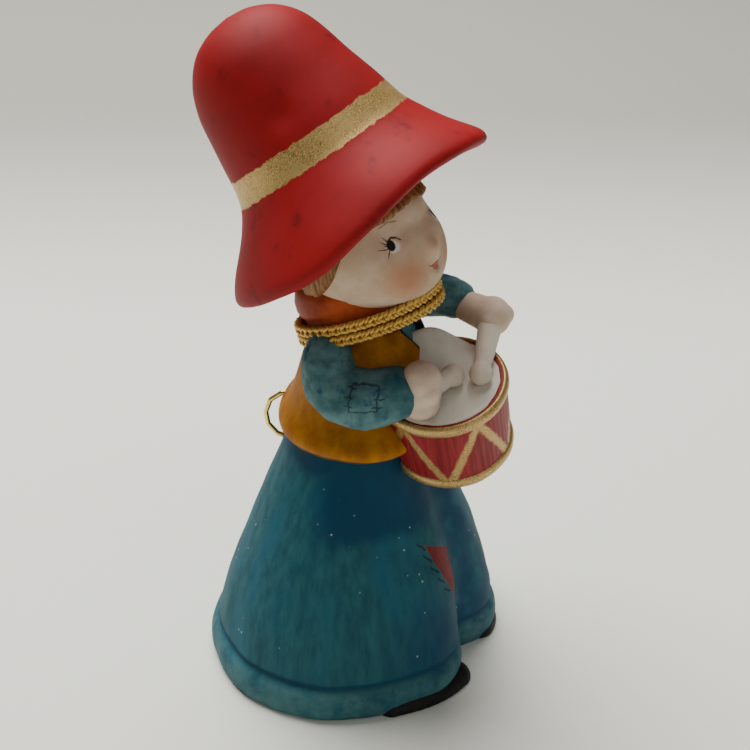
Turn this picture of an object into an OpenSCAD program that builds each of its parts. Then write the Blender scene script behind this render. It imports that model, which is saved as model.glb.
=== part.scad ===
// Bisque porcelain figurine bell: a drummer child whose trousers are the bell.
// Origin at the middle of the bell's mouth, on the table. The child faces -Y.

/* [Bell] */
// Half width of the bell's mouth, side to side
mouth_rx = 32.6; // [28:0.2:39]
// Half depth of the bell's mouth, front to back
mouth_ry = 28.4; // [25:0.2:34]
// Height of the waist, where the trousers end
waist_z = 54; // [50:1:57]
// Half depth of the waist
waist_ry = 13; // [12:0.1:14.4]
// Wall of the bell
bell_wall = 2.6; // [2:0.1:3.4]
// Height of the turned-up cuff
cuff_h = 6.5; // [4:0.5:9]
// How far the cuff stands proud
cuff_bulge = 0.8; // [0.3:0.1:1.5]
// Depth of the crease between the legs at the floor, as a share of the radius
crease = 0.10; // [0.02:0.01:0.16]

/* [Torso and vest] */
// Wall of the torso
torso_wall = 2.4; // [1.8:0.1:3]
// Thickness of the vest at the chest
vest_t = 1.3; // [0.8:0.1:1.8]
// How far the vest's hem flares
hem_flare = 2; // [1:0.1:3.5]
// Height of the vest's hem
hem_z = 51.5; // [49:0.5:53]

/* [Head and scarf] */
// Radius of the head
head_r = 14.3; // [13:0.1:15.5]
// Wall of the head
head_wall = 2.4; // [1.8:0.1:3]
// Thickness of the hair
hair_t = 1.3; // [0.8:0.1:2]
// Outer radius of the scarf
scarf_r = 12.7; // [12:0.1:14]
// Forward tilt of the scarf and cord
scarf_tilt = 16; // [8:1:20]
// Diameter of the braided cord
cord_d = 2; // [1.4:0.1:2.6]

/* [Hat] */
// Radius of the crown at the band
band_r = 18; // [17:0.1:20]
// Height of the crown above the band
crown_h = 28; // [24:0.5:34]
// Radius of the brim
brim_r = 28.5; // [26:0.5:32]
// Drop of the brim below the band
brim_drop = 15; // [12:0.5:18]
// Wall of the hat
hat_wall = 2.6; // [2:0.1:3.4]
// Backward tilt of the hat
hat_tilt = 38; // [32:1:42]

/* [Arms and drum] */
// Radius of the sleeves at the elbow
sleeve_r = 6; // [5:0.1:6.6]
// Radius of a fist
fist_r = 3.6; // [3.2:0.1:4.1]
// Diameter of a drumstick
stick_d = 3.4; // [2.4:0.1:4]
// Radius of a drumstick's round end
stick_ball_r = 2.3; // [1.8:0.1:2.8]
// Radius of the drum at its head
drum_r = 12.2; // [11.2:0.1:13.2]
// Height of the drum
drum_h = 17.5; // [15.5:0.5:19]
// Wall of the drum
drum_wall = 2.2; // [1.6:0.1:3]

/* [Hanger and clapper] */
// Diameter of the hanger's wire
hanger_d = 1.1; // [0.8:0.1:1.4]
// Diameter of the holes for the hanger
hanger_hole_d = 3; // [2.2:0.1:3.4]
// Diameter of the clapper's wire
clapper_d = 0.9; // [0.7:0.1:1.1]
// Radius of the link's ring, at the middle of its wire
link_r = 2; // [1.8:0.1:2.4]
// Radius of the clapper's bead
bead_r = 4.5; // [3.5:0.1:5]
// Height of the bead's middle above the table
bead_z = 17; // [15:0.5:19]
// Play between loops of wire
play = 0.08; // [0.04:0.01:0.1]

/* [Hidden] */
sides = 48;                       // facets round the moulded body
aspect = mouth_rx / mouth_ry;     // the body is wider than it is deep
lean = [[0, 0], [25, -1.6], [52, -1.5], [61, -2.2], [73, -3.7], [90, -3.7]]; // middle's Y by height
chest = [[0, 13], [4, 12.2], [9, 11.6], [14, 10.8], [18, 9.4], [21, 7.8], [27, 6]]; // half depth by height
chest_width = [[0, 1.15], [9, 1.18], [16, 1.24], [21, 1.1], [27, 1]];       // its width over its depth
head_at = [0, -3.5, 91];
jaw_at = [0, -6, 87.8];
jaw_r = 11.6;
scarf_at = [0, -3.7, 79];
hat_at = [0, 6.4, 109];
crown_in = 3;                     // the crown draws in this much towards its dome
dome_h = 17;                      // height of the crown's dome
drum_at = [-3.2, -21, 66.6];       // middle of the drum's head
drum_lean = [-2, -18];            // turns of the drum about X and then Y
drum_taper = 0.8;                 // radius lost from the drum's head to its foot
hoop_t = 0.6;                     // how far a hoop stands proud
hoop_w = 2.2;
right_arm = [[-11.5, -3.2, 71.4], [-16.8, -6.6, 66.2], [-13.2, -15.8, 69]];
left_arm = [[11, -4, 71.2], [16.8, -9.4, 70.6], [14, -19.4, 73.8]];
right_fist = [-11, -20, 68.4];
left_fist = [11.6, -25, 74.4];
fist_stretch = 2.4;               // the right fist is two spheres, this far above and below its middle
right_stick = [right_fist, [-3.1, -23.1, 68.4]];
left_stick = [left_fist, [-1.4, -28.1, 69.2]];
cord_r = scarf_r + cord_d / 2 + 0.15;
cord_z = -1.6;                    // middle of the cord's turns, in the scarf's own frame
cord_turn = 716;                  // degrees that the cord goes round
cord_pitch = 1.1 * cord_d;
knot_r = 1.9;
knot_w = 4.4;
hanger_turn = 20;                 // the hanger lies this far round from the back, towards -X
wire_z = 44.6;                    // height of the hanger's inner run
link_z = wire_z + hanger_d / 2 + play + clapper_d / 2 - link_r;   // middle of the link's ring
eye_pivot_z = link_z - link_r;
eye_r = 1.6;
eye_z = eye_pivot_z + clapper_d + play - eye_r;
stop_r = 1.1;
stop_h = 1.4;
shank_end_z = bead_z - bead_r - stop_h;

// Half depth of the trousers at a height, without the cuff
function bell_ry(z) = waist_ry + (mouth_ry - 0.6 - waist_ry) * pow(cos(90 * min(z, waist_z) / waist_z), 1.32);
function cuff(z) = z < cuff_h
    ? (0.6 + cuff_bulge) * sqrt(max(0, 1 - pow((z - cuff_h * 0.42) / (cuff_h * 0.6), 2)))
    : 0;
function crease_at(a, z) = let(d = ((a + 90 + 540) % 360) - 180)
    crease * max(0, 1 - z / waist_z) * (exp(-pow(d / 9, 2)) + 0.3 * exp(-pow((180 - abs(d)) / 9, 2)));
function trouser_ring(z, inset, creased) = [for (i = [0 : sides - 1])
    let(a = 360 * i / sides, r = (bell_ry(z) + cuff(z) * creased) * (1 - creased * crease_at(a, z)) - inset)
    [aspect * r * cos(a), lookup(z, lean) + r * sin(a), z]];
function chest_ring(z, out) = [for (i = [0 : sides - 1])
    let(a = 360 * i / sides, r = lookup(z - waist_z, chest) * waist_ry / 13 + out)
    [(lookup(z - waist_z, chest_width) * aspect / 1.15) * r * cos(a), lookup(z, lean) + r * sin(a), z]];

// A closed solid through rings of equal count, lowest first
module skin(rings) {
    n = len(rings[0]);
    m = len(rings);
    polyhedron(
        points = [for (r = rings) each r],
        faces = concat([[for (i = [0 : n - 1]) i]],
            [for (j = [0 : m - 2], i = [0 : n - 1]) each [
                [j * n + i, (j + 1) * n + i, j * n + (i + 1) % n],
                [j * n + (i + 1) % n, (j + 1) * n + i, (j + 1) * n + (i + 1) % n]]],
            [[for (i = [0 : n - 1]) m * n - 1 - i]]));
}

// A closed solid that follows a path with a round section, with flat ends or joined in a loop
function unit(v) = v / norm(v);
function path_dir(p, i, closed) = let(n = len(p))
    closed ? unit(p[(i + 1) % n] - p[(i + n - 1) % n]) : unit(p[min(i + 1, n - 1)] - p[max(i - 1, 0)]);
function path_ring(p, i, r, up, closed, k) =
    let(t = path_dir(p, i, closed), u = unit(cross(t, up)), v = cross(t, u))
    [for (s = [0 : k - 1]) p[i] + r * (cos(360 * s / k) * u + sin(360 * s / k) * v)];
module sweep(p, r, up, closed = false, k = 8) {
    n = len(p);
    polyhedron(
        points = [for (i = [0 : n - 1]) each path_ring(p, i, r, up, closed, k)],
        faces = concat(
            closed ? [] : [[for (s = [0 : k - 1]) k - 1 - s], [for (s = [0 : k - 1]) (n - 1) * k + s]],
            [for (i = [0 : n - (closed ? 1 : 2)], s = [0 : k - 1])
                let(next = (i + 1) % n, turn = (s + 1) % k,
                    a = i * k + s, b = i * k + turn, c = next * k + s, d = next * k + turn)
                each [[a, b, c], [b, d, c]]]));
}

module between(a, b) {
    d = b - a;
    translate(a) rotate([0, acos(d[2] / norm(d)), atan2(d[1], d[0])]) children();
}

// Outer forms that the neighbours are cut with
bell_steps = [0, 1, 2.5, 4, 5.5, 6.5, 8, 12, 17, 22, 27, 32, 37, 42, 47, 51];
function steps_to_waist(s) = [for (z = s) z * waist_z / 51];
module trouser_form() skin([for (z = steps_to_waist(bell_steps)) trouser_ring(z, 0, 1)]);
chest_steps = [0, 2, 4, 6.5, 9, 11.5, 14, 16, 18, 20, 22];
module chest_form() skin([for (z = chest_steps) chest_ring(waist_z + z, 0)]);
function vest_out(z) = vest_t + hem_flare * exp(-pow((z - hem_z) / 5.5, 2));
vest_steps = [0, 1, 2.5, 5, 8, 11, 14, 16.5, 19];
module vest_form() skin([for (z = vest_steps)
    let(h = hem_z + z) chest_ring(h, vest_out(h) - (z == 0 ? 0.9 : 0))]);

module scarf_place() translate(scarf_at) rotate([-scarf_tilt, 0, 0]) children();
module scarf_form() scarf_place() rotate_extrude($fn = 72) hull() {
    translate([5, -3.6]) square([0.1, 7.6]);
    translate([scarf_r - 3, -2.2]) circle(1.7, $fn = 32);
    translate([scarf_r - 3, 1.2]) circle(3, $fn = 32);
}
module head_form() {
    translate(head_at) sphere(head_r, $fn = 72);
    translate(jaw_at) sphere(jaw_r, $fn = 72);
}
module hair_form() intersection() {
    translate(head_at) sphere(head_r + hair_t, $fn = 72);
    translate([0, 0, 80]) rotate([-14, 0, 0]) translate([-40, -40, 0]) cube([80, 80, 60]);
}
module hat_place() translate(hat_at) rotate([-hat_tilt, 0, 0]) children();
module drum_place() translate(drum_at) rotate([drum_lean[0], drum_lean[1], 0]) children();
module drum_cone(from, to, out = 0) translate([0, 0, -from]) mirror([0, 0, 1])
    cylinder(h = to - from, r1 = drum_r + out - drum_taper * from / drum_h,
             r2 = drum_r + out - drum_taper * to / drum_h, $fn = 72);
module body_form() {
    chest_form();
    vest_form();
    trouser_form();
}
function bend(p, t) = let(c = 2 * p[1] - (p[0] + p[2]) / 2)
    pow(1 - t, 2) * p[0] + 2 * t * (1 - t) * c + t * t * p[2];
arm_steps = 9;
function arm_radius(t) = sleeve_r * (1 - 0.14 * t) * (0.86 + 0.14 * sin(180 * t));
module arm_form(p) for (i = [0 : arm_steps - 1]) hull() for (k = [i, i + 1])
    let(t = k / arm_steps) translate(bend(p, t)) sphere(arm_radius(t), $fn = 24);
module fist(at, long = false, room = 0) for (z = long ? [-fist_stretch, fist_stretch] : [0])
    translate(at + [0, 0, z]) sphere(fist_r + room, $fn = 48);
module stick_shaft(ends) between(ends[0], ends[1])
    cylinder(h = norm(ends[1] - ends[0]), d = stick_d, $fn = 32);
module stick(ends) between(ends[0], ends[1]) {
    cylinder(h = norm(ends[1] - ends[0]), d = stick_d, $fn = 32);
    translate([0, 0, norm(ends[1] - ends[0])]) sphere(stick_ball_r, $fn = 40);
}

// The hanger: one closed loop in an upright plane through the bell's axis, [distance back, height]
hanger_route = [[6, 45], [11.5, 46], [14.8, 47], [16.6, 49.2], [17, 52], [16, 54.8], [13.6, 56.6],
                [10, 56.4], [5, 54], [1, 51.6], [-2.2, 49], [-3.2, 47], [-2.4, 45.2],
                [-0.6, wire_z], [1.4, wire_z]];
module hanger_place() rotate([0, 0, hanger_turn]) children();
module hanger_holes() hanger_place() {
    translate([0, 11, 56.4]) rotate([-90, 0, 0]) cylinder(h = 12, d = hanger_hole_d, center = true, $fn = 40);
    translate([0, 14, 46.7]) rotate([-90, 0, 0]) cylinder(h = 12, d = hanger_hole_d, center = true, $fn = 40);
}

module trouser_bell() color("steelblue") difference() {
    skin([for (z = concat([-1], steps_to_waist(bell_steps))) trouser_ring(z, 0, 1)]);
    skin([for (z = concat([-2], steps_to_waist([0, 8, 16, 24, 32, 39, 45]), [waist_z + 1]))
        trouser_ring(z, bell_wall, 0)]);
    translate([-50, -50, -10]) cube([100, 100, 10]);
    hanger_holes();
}

module shoe(toes) color([0.05, 0.05, 0.06]) difference() {
    hull() for (p = toes)
        translate([p[0] * mouth_rx / 32.6, p[1] * mouth_ry / 28.4, 0.8]) sphere(4.2, $fn = 32);
    trouser_form();
    translate([-50, -50, -10]) cube([100, 100, 10]);
    translate([0, 0, -1]) linear_extrude(12) scale([mouth_rx - 2, mouth_ry - 2]) circle(1, $fn = 64);
}
module right_shoe() shoe([[-8.6, -26.2], [-20, -21.8]]);
module left_shoe() shoe([[7.6, -25.2], [16, -22.8]]);

module torso() color("teal") difference() {
    chest_form();
    skin([for (z = [-1, 0, 4, 9, 14, 18, 23]) chest_ring(waist_z + z, -torso_wall)]);
    scarf_form();
    hanger_holes();
}

module vest() color("darkgoldenrod") difference() {
    vest_form();
    chest_form();
    trouser_form();
    scarf_form();
    translate([0, -14, 70]) rotate([90, 0, 0]) linear_extrude(20, center = true)
        polygon([[0, -9], [8, 6], [-8, 6]]);
    drum_place() drum_cone(-0.2, drum_h, 0);
    hanger_holes();
}

module scarf() color("orangered") difference() {
    scarf_form();
    head_form();
    hair_form();
    translate([0, -3.7, 60]) cylinder(h = 40, r = 5.4, $fn = 48);
}

module head() color("antiquewhite") difference() {
    union() {
        head_form();
        translate([0.6, -18, 93]) sphere(1.7, $fn = 32);
    }
    translate(head_at) sphere(head_r - head_wall, $fn = 60);
    translate([0, -3.7, 60]) cylinder(h = 24, r = 5.4, $fn = 48);
    translate(head_at) rotate([-hat_tilt, 0, 0]) cylinder(h = 30, r = 6, $fn = 48);
    cord_room();
}

module hair() color("sienna") difference() {
    hair_form();
    head_form();
    translate([0, -20, 87]) sphere(19, $fn = 64);
    translate(head_at) rotate([-hat_tilt, 0, 0]) cylinder(h = 30, r = 6, $fn = 48);
}

module hat() color("firebrick") difference() {
    hat_place() rotate_extrude($fn = 96) difference() {
        polygon(concat([[0, crown_h]],
            [for (a = [80 : -10 : 0]) [(band_r - crown_in) * cos(a), crown_h - dome_h + dome_h * sin(a)]],
            [[band_r, 0], [brim_r - 1, -brim_drop + 2.2], [brim_r, -brim_drop + 0.8],
             [brim_r - 0.6, -brim_drop - 0.9],
             [brim_r - 2, -brim_drop - 1], [16, -11], [0, -9]]));
        polygon(concat([[0, crown_h - hat_wall]],
            [for (a = [80 : -10 : 0]) [(band_r - crown_in - hat_wall) * cos(a),
                crown_h - dome_h + (dome_h - hat_wall) * sin(a)]],
            [[band_r - hat_wall, 0], [13, -7], [0, -7]]));
        square([12, 2 * brim_drop], center = true);
    }
    head_form();
    hair_form();
}

module right_hand() color("bisque") difference() {
    fist(right_fist, true);
    stick_shaft(right_stick);
    drum_place() drum_cone(-0.1, drum_h, hoop_t);
}
module left_hand() color("bisque") difference() {
    fist(left_fist);
    stick_shaft(left_stick);
}
module sleeve(p, fist_at, ends, long) color("cadetblue") difference() {
    arm_form(p);
    fist(fist_at, long, 0.03);
    stick_shaft(ends);
    chest_form();
    vest_form();
    scarf_form();
    cord_room();
    knot_form(0.1);
    drum_place() drum_cone(-0.2, drum_h, hoop_t);
}
module right_sleeve() sleeve(right_arm, right_fist, right_stick, true);
module left_sleeve() sleeve(left_arm, left_fist, left_stick, false);
module right_drumstick() color("wheat") stick(right_stick);
module left_drumstick() color("wheat") stick(left_stick);

module drum_shell() color("crimson") difference() {
    drum_place() difference() {
        drum_cone(0, drum_h);
        drum_cone(-1, drum_h - drum_wall, -drum_wall);
    }
    body_form();
}
module drum_head() color("ivory") difference() {
    drum_place() drum_cone(0.6, 2.4, -drum_wall);
    body_form();
    stick(right_stick);
    stick(left_stick);
}
module hoop(from) difference() {
    drum_place() difference() {
        drum_cone(from, from + hoop_w, hoop_t);
        drum_cone(from - 1, from + hoop_w + 1);
    }
    body_form();
}
module drum_top_hoop() color("gold") hoop(0);
module drum_bottom_hoop() color("gold") hoop(drum_h - hoop_w);

cord_steps = 56;
module cord_room() scarf_place() rotate_extrude($fn = 72)
    translate([cord_r, cord_z]) square([cord_d + 0.2, 3.2 * cord_pitch], center = true);
module knot_form(room = 0) scarf_place() translate([cord_r + 1.2, 0, cord_z]) rotate([90, 0, 0])
    cylinder(h = knot_w + 2 * room, r = knot_r + room, center = true, $fn = 40);
module neck_cord() color("goldenrod") scarf_place() sweep([for (i = [0 : cord_steps])
    let(t = i / cord_steps, a = 12 + cord_turn * t)
    [cord_r * cos(a), cord_r * sin(a), cord_z + cord_pitch * cord_turn / 360 * (t - 0.5)]],
    cord_d / 2, [0, 0, 1]);
module cord_knot() color("goldenrod") difference() {
    knot_form();
    scarf_place() translate([0, 0, -20]) cylinder(h = 40, r = cord_r + cord_d / 2 + 0.02, $fn = 72);
}

module hanger_wire() color("gold") hanger_place()
    sweep([for (p = hanger_route) [0, p[0], p[1]]], hanger_d / 2, [1, 0, 0], true);

module clapper_link() color("silver") hanger_place() translate([0, 0, link_z]) rotate([90, 0, 0])
    rotate_extrude($fn = 48) translate([link_r, 0]) circle(d = clapper_d, $fn = 24);
module clapper_wire() color("silver") hanger_place() {
    translate([0, 0, eye_z]) rotate([0, 90, 0]) rotate_extrude($fn = 48)
        translate([eye_r, 0]) circle(d = clapper_d, $fn = 24);
    translate([0, 0, shank_end_z]) cylinder(h = eye_z - eye_r - shank_end_z, d = clapper_d, $fn = 24);
}
module clapper_bead() color("whitesmoke") translate([0, 0, bead_z]) difference() {
    sphere(bead_r, $fn = 64);
    cylinder(h = 3 * bead_r, r = clapper_d / 2 + play, center = true, $fn = 32);
    translate([-bead_r, -bead_r, -bead_r - 1]) cube([2 * bead_r, 2 * bead_r, 1.3]);
}
module bead_stop() color("silver") translate([0, 0, shank_end_z]) difference() {
    cylinder(h = stop_h + 0.3, r = stop_r, $fn = 32);
    cylinder(h = 3 * stop_h, d = clapper_d, center = true, $fn = 24);
}

trouser_bell();
right_shoe();
left_shoe();
torso();
vest();
scarf();
head();
hair();
hat();
right_hand();
left_hand();
right_sleeve();
left_sleeve();
right_drumstick();
left_drumstick();
drum_shell();
drum_head();
drum_top_hoop();
drum_bottom_hoop();
neck_cord();
cord_knot();
hanger_wire();
clapper_link();
clapper_wire();
clapper_bead();
bead_stop();
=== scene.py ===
import math
import bpy
import bmesh
from mathutils import Vector, Matrix, noise


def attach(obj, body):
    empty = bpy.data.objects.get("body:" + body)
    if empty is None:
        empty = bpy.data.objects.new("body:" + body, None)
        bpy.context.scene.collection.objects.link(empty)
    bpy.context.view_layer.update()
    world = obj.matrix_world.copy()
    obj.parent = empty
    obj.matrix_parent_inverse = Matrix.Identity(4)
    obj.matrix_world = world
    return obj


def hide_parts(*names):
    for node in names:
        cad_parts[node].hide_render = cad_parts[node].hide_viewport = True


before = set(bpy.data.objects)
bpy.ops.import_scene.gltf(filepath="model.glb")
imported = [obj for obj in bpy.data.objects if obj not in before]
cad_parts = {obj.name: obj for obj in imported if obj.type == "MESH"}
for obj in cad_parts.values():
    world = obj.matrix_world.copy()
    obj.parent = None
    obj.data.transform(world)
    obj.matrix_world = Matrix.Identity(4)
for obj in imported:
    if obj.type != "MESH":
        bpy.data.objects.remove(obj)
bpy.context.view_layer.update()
print("frame loaded")

mm = 0.001


def newObject(name, data):
    made = bpy.data.objects.new(name, data)
    bpy.context.scene.collection.objects.link(made)
    return made


# Camera, floor and light
view = dict(place=(-0.245885, -0.120156, 0.219263), look=(0.78489, 0.36600, -0.5), lens=76.8)
camData = bpy.data.cameras.new("camera")
camData.lens = view["lens"]
camData.sensor_width = 36
camera = newObject("camera", camData)
camera.location = view["place"]
camera.rotation_euler = Vector(view["look"]).to_track_quat("-Z", "Y").to_euler()
bpy.context.scene.camera = camera

# The paper's floor colour turns into the darker back colour from greyFrom to greyTo, away from the camera:
# painted shade on one paper sweep.
studio = dict(floor=(0.84, 0.84, 0.775), back=(0.37, 0.365, 0.325), radius=1.3, bend=0.5, height=1.5,
              drop=-0.0002, turn=-65, greyFrom=0.10, greyTo=0.32)


def studioPaper():
    mat = bpy.data.materials.new("studioPaper")
    mat.use_nodes = True
    tree = mat.node_tree
    shader = tree.nodes["Principled BSDF"]
    shader.inputs["Roughness"].default_value = 0.85
    coord = tree.nodes.new("ShaderNodeTexCoord")
    turn = tree.nodes.new("ShaderNodeMapping")
    turn.vector_type = "TEXTURE"
    turn.inputs["Rotation"].default_value = (0, 0, math.radians(studio["turn"]))
    tree.links.new(coord.outputs["Object"], turn.inputs["Vector"])
    split = tree.nodes.new("ShaderNodeSeparateXYZ")
    tree.links.new(turn.outputs[0], split.inputs[0])
    reach = tree.nodes.new("ShaderNodeMapRange")
    reach.interpolation_type = "SMOOTHSTEP"
    reach.inputs["From Min"].default_value = studio["greyFrom"]
    reach.inputs["From Max"].default_value = studio["greyTo"]
    tree.links.new(split.outputs["Y"], reach.inputs["Value"])
    # painted shade: the paper darkens away from the camera
    tone = tree.nodes.new("ShaderNodeMix")
    tone.data_type = "RGBA"
    tone.inputs["A"].default_value = (*studio["floor"], 1)
    tone.inputs["B"].default_value = (*studio["back"], 1)
    tree.links.new(reach.outputs["Result"], tone.inputs["Factor"])
    tree.links.new(tone.outputs["Result"], shader.inputs["Base Color"])
    return mat


def buildStudio():
    bm = bmesh.new()
    radius, bend = studio["radius"], studio["bend"]
    line = [bm.verts.new((0, 0, 0)), bm.verts.new((radius, 0, 0))]
    for step in range(1, 13):
        a = math.radians(90 * step / 12)
        line.append(bm.verts.new((radius + bend * math.sin(a), 0, bend - bend * math.cos(a))))
    line.append(bm.verts.new((radius + bend, 0, studio["height"])))
    edges = [bm.edges.new(pair) for pair in zip(line, line[1:])]
    bmesh.ops.spin(bm, geom=line + edges, cent=(0, 0, 0), axis=(0, 0, 1), angle=2 * math.pi,
                   steps=64, use_merge=True)
    bmesh.ops.remove_doubles(bm, verts=bm.verts, dist=1e-5)
    bmesh.ops.recalc_face_normals(bm, faces=bm.faces)
    if min(bm.faces, key=lambda f: f.calc_center_median().length).normal.z < 0:
        bmesh.ops.reverse_faces(bm, faces=bm.faces)
    bmesh.ops.translate(bm, verts=bm.verts, vec=(0, 0, studio["drop"]))
    mesh = bpy.data.meshes.new("studioBowl")
    bm.to_mesh(mesh)
    bm.free()
    mesh.shade_smooth()
    mesh.materials.append(studioPaper())
    bowl = newObject("studioBowl", mesh)


def areaLight(name, place, target, size, power, colour):
    data = bpy.data.lights.new(name, "AREA")
    data.shape = "DISK"
    data.size = size
    data.energy = power
    data.color = colour
    lamp = newObject(name, data)
    lamp.location = place
    lamp.rotation_euler = (Vector(target) - Vector(place)).to_track_quat("-Z", "Y").to_euler()


buildStudio()
areaLight("keyLight", (0.24, 0.30, 0.82), (0, 0, 0.05), 0.80, 17, (1, 0.99, 0.96))
areaLight("sideFill", (-0.35, -0.55, 0.60), (0, 0, 0.07), 0.8, 1.2, (0.95, 0.98, 1))
world = bpy.data.worlds.new("softRoom")
world.use_nodes = True
world.node_tree.nodes["Background"].inputs["Color"].default_value = (0.80, 0.82, 0.80, 1)
world.node_tree.nodes["Background"].inputs["Strength"].default_value = 0.06
bpy.context.scene.world = world
print("camera and studio")


# Shaping helpers
def curveThrough(points, per=6, closed=False):
    pts = [Vector(p) for p in points]
    n = len(pts)
    out = []
    for i in range(n if closed else n - 1):
        a = pts[(i - 1) % n] if closed or i else pts[0] * 2 - pts[1]
        b, c = pts[i], pts[(i + 1) % n]
        d = pts[(i + 2) % n] if closed or i + 2 < n else c * 2 - b
        for k in range(per):
            t = k / per
            out.append(0.5 * (2 * b + (c - a) * t + (2 * a - 5 * b + 4 * c - d) * t * t
                              + (3 * b - a - 3 * c + d) * t ** 3))
    if not closed:
        out.append(pts[-1])
    return out


def mix(a, b, t):
    return a + (b - a) * t


def ease(t):
    t = min(max(t, 0), 1)
    return t * t * (3 - 2 * t)


def bump(x, width):
    return math.exp(-(x / width) ** 2)


def table(x, rows):
    for (x0, y0), (x1, y1) in zip(rows, rows[1:]):
        if x <= x1:
            return mix(y0, y1, min(max((x - x0) / (x1 - x0), 0), 1))
    return rows[-1][1]


def turnFrom(a, centre):
    return (a - centre + 540) % 360 - 180  # degrees from centre, -180 to 180


def ripple(point, size, seed=0.0):
    return noise.noise(Vector(point) / size + Vector((seed, seed * 0.7, -seed)))


def turned(profile, steps):
    bm = bmesh.new()
    ring = [bm.verts.new((r, 0, z)) for r, z in profile]
    edges = [bm.edges.new(pair) for pair in zip(ring, ring[1:])]
    bmesh.ops.spin(bm, geom=ring + edges, cent=(0, 0, 0), axis=(0, 0, 1), angle=2 * math.pi,
                   steps=steps, use_merge=True)
    bmesh.ops.remove_doubles(bm, verts=bm.verts, dist=1e-4)
    bmesh.ops.recalc_face_normals(bm, faces=bm.faces)
    return bm


def sculpt(bm, move):
    for v in bm.verts:
        v.co = move(v.co)


def relax(bm, times):
    for _ in range(times):
        bmesh.ops.smooth_vert(bm, verts=bm.verts, factor=0.5, use_axis_x=True, use_axis_y=True,
                              use_axis_z=True)


def addPiece(name, bm, materials, node):
    bmesh.ops.scale(bm, verts=bm.verts, vec=(mm, mm, mm))
    mesh = bpy.data.meshes.new(name)
    bm.to_mesh(mesh)
    bm.free()
    mesh.shade_smooth()
    for m in materials:
        mesh.materials.append(m)
    piece = newObject(name, mesh)
    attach(piece, "figure")
    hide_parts(node)


def clay(balls, voxel, smooth):
    bm = bmesh.new()
    for place, radius, *stretch in balls:
        shape = stretch[0] if stretch else (1, 1, 1)
        turn = stretch[1] if len(stretch) > 1 else Matrix.Identity(4)
        spot = Matrix.Translation(Vector(place)) @ turn @ Matrix.Diagonal((*shape, 1))
        bmesh.ops.create_icosphere(bm, subdivisions=3, radius=radius, matrix=spot)
    mesh = bpy.data.meshes.new("clay")
    bm.to_mesh(mesh)
    bm.free()
    lump = newObject("clay", mesh)
    remesh = lump.modifiers.new("remesh", "REMESH")
    remesh.mode = "VOXEL"
    remesh.voxel_size = voxel
    graph = bpy.context.evaluated_depsgraph_get()
    out = bmesh.new()
    out.from_object(lump, graph)
    bpy.data.objects.remove(lump)
    bpy.data.meshes.remove(mesh)
    relax(out, smooth)
    return out


def chain(points, radii, count):
    route = curveThrough(points, 8)
    balls = []
    for k in range(count + 1):
        t = k / count
        p = route[min(int(t * (len(route) - 1)), len(route) - 1)]
        r = table(t * (len(radii) - 1), list(enumerate(radii)))
        balls.append((p, r))
    return balls


def tubes(paths, radius, name, closed=False, sides=2):
    data = bpy.data.curves.new(name, "CURVE")
    data.dimensions = "3D"
    data.bevel_depth = radius
    data.bevel_resolution = sides
    data.use_fill_caps = True
    for path in paths:
        line = data.splines.new("POLY")
        line.points.add(len(path) - 1)
        for spot, p in zip(line.points, path):
            spot.co = (*p, 1)
        line.use_cyclic_u = closed
    thing = newObject(name, data)
    graph = bpy.context.evaluated_depsgraph_get()
    mesh = bpy.data.meshes.new_from_object(thing.evaluated_get(graph))
    bm = bmesh.new()
    bm.from_mesh(mesh)
    bpy.data.objects.remove(thing)
    bpy.data.meshes.remove(mesh)
    bmesh.ops.remove_doubles(bm, verts=bm.verts, dist=1e-5)
    bmesh.ops.recalc_face_normals(bm, faces=bm.faces)
    return bm


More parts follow.
